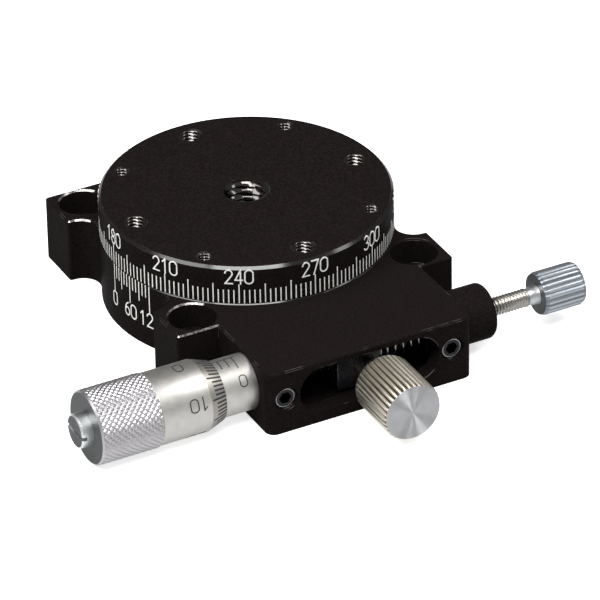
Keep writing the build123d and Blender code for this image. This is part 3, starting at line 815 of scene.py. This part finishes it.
def thimble():
    """The thimble with its knurl, in place of the plain CAD thimble."""
    low, high = THIMBLE_END + RIM, KNURL_X
    bore = SLEEVE_RADIUS + SLEEVE_CLEARANCE
    rows = [(THIMBLE_EDGE, bore), (THIMBLE_EDGE, BEVEL_EDGE_RADIUS), (BEVEL_X, BARREL_RADIUS)]
    rows += [(high + BAND, BARREL_RADIUS), (high + BAND / 2, BARREL_RADIUS - BAND_DEPTH)]
    rows += knurl_rows(low, high)
    rows += [(low, KNURL_RADIUS - KNURL_END_DROP), (THIMBLE_END, RIM_RADIUS)]
    rows += [(THIMBLE_END, RIM_RADIUS - RIM), (THIMBLE_END, STUD_RADIUS)]
    rows += [(THIMBLE_END + STUD_DEPTH, STUD_RADIUS), (THIMBLE_END + STUD_DEPTH, bore)]
    verts, faces = turned(rows, 2 * KNURL_COUNT * KNURL_SHARES, about_drive)
    materials = [CHROME, KNURLED, SHADED_END_CHROME, BEVEL_CHROME]
    piece = add_piece("thimble_shell", verts, faces, "spindle", materials, THIMBLE_SMOOTH)
    for polygon in piece.data.polygons:
        # End faces get the painted shade copy of the chrome.
        if polygon.center.x < low - FACE_MARGIN and abs(polygon.normal.x) > SQUARE_ON:
            polygon.material_index = materials.index(SHADED_END_CHROME)
        elif polygon.center.x < high + FACE_MARGIN:
            polygon.material_index = materials.index(KNURLED)
        elif polygon.center.x > BEVEL_X:
            polygon.material_index = materials.index(BEVEL_CHROME)
    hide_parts("thimble")


# ---- knobs and the lock screw -------------------------------------------------------------------
KNOB_CHAMFER, KNOB_DROP = 0.45 * MM, 0.2 * MM  # along and across a knob's chamfered ends
CROWN = 0.03 * MM  # how far a ridge falls from its middle to the groove
GROOVE_START = 0.6  # the larger, the narrower the grooves
GROOVE_EDGE = 0.45  # share of a groove's depth from which its painted shade begins
FLUTE_COLUMNS = 8  # mesh steps to one flute
KNOB_SMOOTH = 30  # degrees
PILOT_RADIUS, COLLAR_RADIUS = 0.75 * MM, 1.1 * MM  # the two ends of the lock screw
TIP = 0.004 * MM  # radius that stands for the middle of a closed end
X, Y = 0, 1


def fluted(radius, depth, count):
    """Straight flutes: broad ridges with narrow grooves."""
    def size(angle):
        away = 1 - wave(count * angle / tau)
        groove = max(0.0, (1 + GROOVE_START) * away - GROOVE_START)
        return radius - depth * groove - CROWN * away ** 2
    return size


def fluted_knob(name, node, axis, face_sign, place, count, depth, bore, floor_at, body, materials):
    """A knob with straight flutes and chamfered ends, open at the back for its screw."""
    low, high = (corner[axis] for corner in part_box(node))
    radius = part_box(node)[1].z - middle(node).z
    face, back = (low, high) if face_sign < 0 else (high, low)
    chamfer = -face_sign * KNOB_CHAMFER
    small = radius - KNOB_DROP
    flutes = fluted(radius, depth, count)
    rows = [(back, bore), (back, small), (back - chamfer, flutes), (face + chamfer, flutes)]
    rows += [(face, small), (face, TIP), (floor_at, TIP), (floor_at, bore)]
    verts, faces = turned(rows, FLUTE_COLUMNS * count, place)
    piece = add_piece(name, verts, faces, body, materials, KNOB_SMOOTH)
    for polygon in piece.data.polygons:
        spot = polygon.center - middle(node)
        if abs(polygon.normal[axis]) > SQUARE_ON:
            polygon.material_index = 1
        # Faces deep in a groove get the third material, a painted shade.
        elif hypot(spot[1 - axis], spot.z) < radius - GROOVE_EDGE * depth:
            polygon.material_index = 2
    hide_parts(node)


def knobs():
    """The clamp knob and the lock knob; their materials are for the ridges, the faces and the grooves, with
    painted shade in the grooves and on the lock knob's faces.
    """
    screw_low, screw_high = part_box("clamp_screw")
    fluted_knob("clamp_knob_fluted", "clamp_knob", axis=Y, face_sign=-1, place=about_clamp, count=34,
                depth=0.45 * MM, bore=screw_high.z - middle("clamp_screw").z, floor_at=screw_low.y,
                body="clamp", materials=[KNOB, KNOB_FACE, KNOB_GROOVE_SHADE])
    fluted_knob("lock_knob_fluted", "lock_knob", axis=X, face_sign=1, place=about_drive, count=22,
                depth=0.20 * MM, bore=COLLAR_RADIUS, floor_at=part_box("lock_screw")[1].x,
                body="lock", materials=[LOCK_KNOB, SHADED_END_CHROME, LOCK_GROOVE_SHADE])


LOCK_PITCH, LOCK_DEPTH = 0.45 * MM, 0.25 * MM
THREAD_CLEARANCE = 0.03 * MM  # from the tip to the thread
PLAIN_END = 1.7 * MM  # from the end of the thread to the knob
RUNOUT = 0.3 * MM
SHOULDER = 1.25  # the collar's radius against the knob, over its own


def lock_screw():
    """The lock screw with its thread, its pilot in the tip and its plain collar in the knob, the collar in
    brighter chrome as a painted highlight.
    """
    low, high = (corner.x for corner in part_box("lock_screw"))
    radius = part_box("lock_screw")[1].z - DRIVE.z
    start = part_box("lock_tip")[1].x + THREAD_CLEARANCE
    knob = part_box("lock_knob")[0].x
    end = knob - PLAIN_END
    rows = [(low, TIP), (low, PILOT_RADIUS), (start, PILOT_RADIUS)]
    rows += thread_rows(start, end, radius, LOCK_PITCH, LOCK_DEPTH)
    rows += [(end, radius), (end + RUNOUT, COLLAR_RADIUS)]
    rows += [(knob, SHOULDER * COLLAR_RADIUS), (knob, COLLAR_RADIUS), (high, COLLAR_RADIUS), (high, TIP)]
    verts, faces = turned(rows, SCREW_COLUMNS, about_drive)
    materials = [SCREW, CAP_CHROME_AND_COLLAR_HIGHLIGHT]
    piece = add_piece("lock_screw_threaded", verts, faces, "lock", materials, THREAD_SMOOTH)
    # The collar gets the brighter chrome: a painted highlight.
    for polygon in piece.data.polygons:
        polygon.material_index = int(polygon.center.x > end)
    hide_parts("lock_screw")


# ---- spring -------------------------------------------------------------------------------------
WIRE = 0.22 * MM  # radius of the spring's wire
FREE_TURNS, CLOSED_TURNS = 12, 1.5  # closed turns at each end
CLOSED_LIFT = 2.1 * WIRE  # pitch of the closed turns
STEPS_PER_TURN = 40
WIRE_SIDES = 12


def spring_path(start, end):
    """The place along the line and the angle of each step of the spring's wire."""
    total = FREE_TURNS + 2 * CLOSED_TURNS
    open_pitch = (end - start - 2 * CLOSED_TURNS * CLOSED_LIFT) / FREE_TURNS
    for index in range(int(total * STEPS_PER_TURN) + 1):
        turn = index / STEPS_PER_TURN
        if turn < CLOSED_TURNS:
            along = start + CLOSED_LIFT * turn
        elif turn > total - CLOSED_TURNS:
            along = end - CLOSED_LIFT * (total - turn)
        else:
            along = start + CLOSED_LIFT * CLOSED_TURNS + open_pitch * (turn - CLOSED_TURNS)
        yield along, tau * turn


def return_spring():
    """The return spring with closed ends. On the real stage its part before the barrel shortens as the lever
    comes nearer; this piece stays fixed, on no body.
    """
    low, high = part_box("return_spring")
    mean = (high.z - low.z) / 2 - WIRE
    verts, faces = [], []
    for along, angle in spring_path(low.x + WIRE, high.x - WIRE):
        for side in range(WIRE_SIDES):
            round_wire = tau * side / WIRE_SIDES
            verts.append(about_drive(along + WIRE * sin(round_wire), mean + WIRE * cos(round_wire), angle))
    last = len(verts) - WIRE_SIDES
    for near in range(0, last, WIRE_SIDES):
        far = near + WIRE_SIDES
        for side in range(WIRE_SIDES):
            beside = (side + 1) % WIRE_SIDES
            faces.append((near + side, near + beside, far + beside, far + side))
    faces.append(tuple(range(WIRE_SIDES)))
    faces.append(tuple(range(last, len(verts))))
    piece = add_piece("return_spring_coil", verts, faces, "base", [SPRING])
    piece.parent = None
    del piece["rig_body"]
    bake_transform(piece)
    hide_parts("return_spring")


# ---- studio -------------------------------------------------------------------------------------
AZIMUTH, ELEVATION, ROLL = -27.08, 32.20, -1.09  # degrees
DISTANCE = 712.9 * MM
SHIFT_RIGHT, SHIFT_UP = 7.01 * MM, -14.28 * MM
FOCAL_LENGTH, SENSOR_WIDTH = 330, 36
NEAREST_SEEN = 0.05
LIT_CENTRE = Vector((0, -8 * MM, 8 * MM))
FLOOR_HALF = 3.0
FLOOR_LEVEL = -0.01 * MM
FLOOR_GLOW = 0.74  # as the camera sees it
FLOOR_SHINE, SHINE_COLOUR = 0.32, (0.95, 0.97, 1.0, 1)  # as polished parts mirror it
FLOOR_DULL = (0.42, 0.42, 0.42, 1)  # as it lights the object
ROOM_HEIGHT = 35  # degrees, the height of the room's light side
ROOM_DARK, ROOM_LIGHT = (-0.4, 0.16), (0.9, 0.45)  # how far a place faces that side, and its strength


def floor_material():
    """A pale, even floor that throws little light back on the object's dark sides."""
    made = Finish("pale_floor", (0.86, 0.86, 0.86), roughness=0.8, specular=0.1)
    made.mottle(size=40 * MM, amount=0.01)
    path = made.node("ShaderNodeLightPath").outputs
    dull = made.node("ShaderNodeBsdfDiffuse", Color=FLOOR_DULL).outputs["BSDF"]
    shine = made.scalar_math("MULTIPLY", path["Is Glossy Ray"], FLOOR_SHINE)
    shown = made.node("ShaderNodeMixShader", Fac=path["Is Camera Ray"])
    made.feed(shown.inputs[1], made.glowing(dull, SHINE_COLOUR, shine))
    made.feed(shown.inputs[2], made.glowing(made.shader.outputs["BSDF"], made.tint, FLOOR_GLOW))
    made.feed(made.tree.nodes["Material Output"].inputs["Surface"], shown.outputs["Shader"])
    return made.material


def floor():
    """The floor just below the object."""
    mesh = bpy.data.meshes.new("floor")
    corners = [(x, y, FLOOR_LEVEL) for x, y in ((-1, -1), (1, -1), (1, 1), (-1, 1))]
    mesh.from_pydata([(x * FLOOR_HALF, y * FLOOR_HALF, z) for x, y, z in corners], [], [(0, 1, 2, 3)])
    mesh.materials.append(floor_material())
    plane = bpy.data.objects.new("floor", mesh)
    bpy.context.scene.collection.objects.link(plane)


def aim(thing, place, target):
    """Puts a thing in its place and turns it towards a target."""
    thing.location = place
    thing.rotation_mode = "QUATERNION"
    thing.rotation_quaternion = (target - place).to_track_quat("-Z", "Y")


def direction(azimuth, elevation):
    """Unit vector towards a place round the object: azimuth 0 is in front (-Y), 90 is to the right (+X)."""
    a, e = radians(azimuth), radians(elevation)
    return Vector((sin(a) * cos(e), -cos(a) * cos(e), sin(e)))


def soft_box(name, azimuth, elevation, distance, width, height, power):
    """A rectangular light that looks at the object's front half."""
    lamp = bpy.data.lights.new(name, "AREA")
    lamp.shape = "RECTANGLE"
    lamp.size = width
    lamp.size_y = height
    lamp.energy = power
    thing = bpy.data.objects.new(name, lamp)
    bpy.context.scene.collection.objects.link(thing)
    aim(thing, LIT_CENTRE + direction(azimuth, elevation) * distance, LIT_CENTRE)


def surroundings():
    """A soft grey room, dark behind the object and light in front of it."""
    world = bpy.data.worlds.new("studio")
    world.use_nodes = True
    tree = world.node_tree
    background = tree.nodes["Background"]
    background.inputs["Color"].default_value = (1, 1, 1, 1)
    place = tree.nodes.new("ShaderNodeTexCoord")
    facing = tree.nodes.new("ShaderNodeVectorMath")
    facing.operation = "DOT_PRODUCT"
    facing.inputs[1].default_value = direction(AZIMUTH, ROOM_HEIGHT)
    spread = tree.nodes.new("ShaderNodeMapRange")
    for name, (away, strength) in (("Min", ROOM_DARK), ("Max", ROOM_LIGHT)):
        spread.inputs[f"From {name}"].default_value = away
        spread.inputs[f"To {name}"].default_value = strength
    tree.links.new(place.outputs["Generated"], facing.inputs[0])
    tree.links.new(facing.outputs["Value"], spread.inputs["Value"])
    tree.links.new(spread.outputs["Result"], background.inputs["Strength"])
    bpy.context.scene.world = world


def studio_light():
    """A large light on the left, a strip above the front, a weaker one on the right, and the room."""
    soft_box("key", -95, 58, distance=0.75, width=0.45, height=0.40, power=4.0)
    soft_box("front", AZIMUTH, 60, distance=0.8, width=0.55, height=0.14, power=3.6)
    soft_box("right", 70, 50, distance=0.8, width=0.35, height=0.35, power=2.4)
    surroundings()
    bpy.context.scene.view_settings.view_transform = "Standard"


def camera():
    """The camera, turned round the middle of the table's top."""
    back = direction(AZIMUTH, ELEVATION)
    right = Vector((cos(radians(AZIMUTH)), sin(radians(AZIMUTH)), 0))
    up = back.cross(right)
    roll = radians(ROLL)
    across = right * cos(roll) + up * sin(roll)
    upward = up * cos(roll) - right * sin(roll)
    place = Vector((0, 0, TABLE_TOP)) + back * DISTANCE + across * SHIFT_RIGHT + upward * SHIFT_UP
    lens = bpy.data.cameras.new("camera")
    lens.sensor_width = SENSOR_WIDTH
    lens.lens = FOCAL_LENGTH
    lens.clip_start = NEAREST_SEEN
    thing = bpy.data.objects.new("camera", lens)
    bpy.context.scene.collection.objects.link(thing)
    axes = Matrix((across, upward, back)).transposed().to_4x4()
    thing.matrix_world = Matrix.Translation(place) @ axes
    bpy.context.scene.camera = thing


dress_cad_nodes()
table_scale()
vernier_scale()
sleeve_scale()
thimble_scale()
hole_threads()
thimble()
knobs()
lock_screw()
return_spring()
floor()
studio_light()
camera()
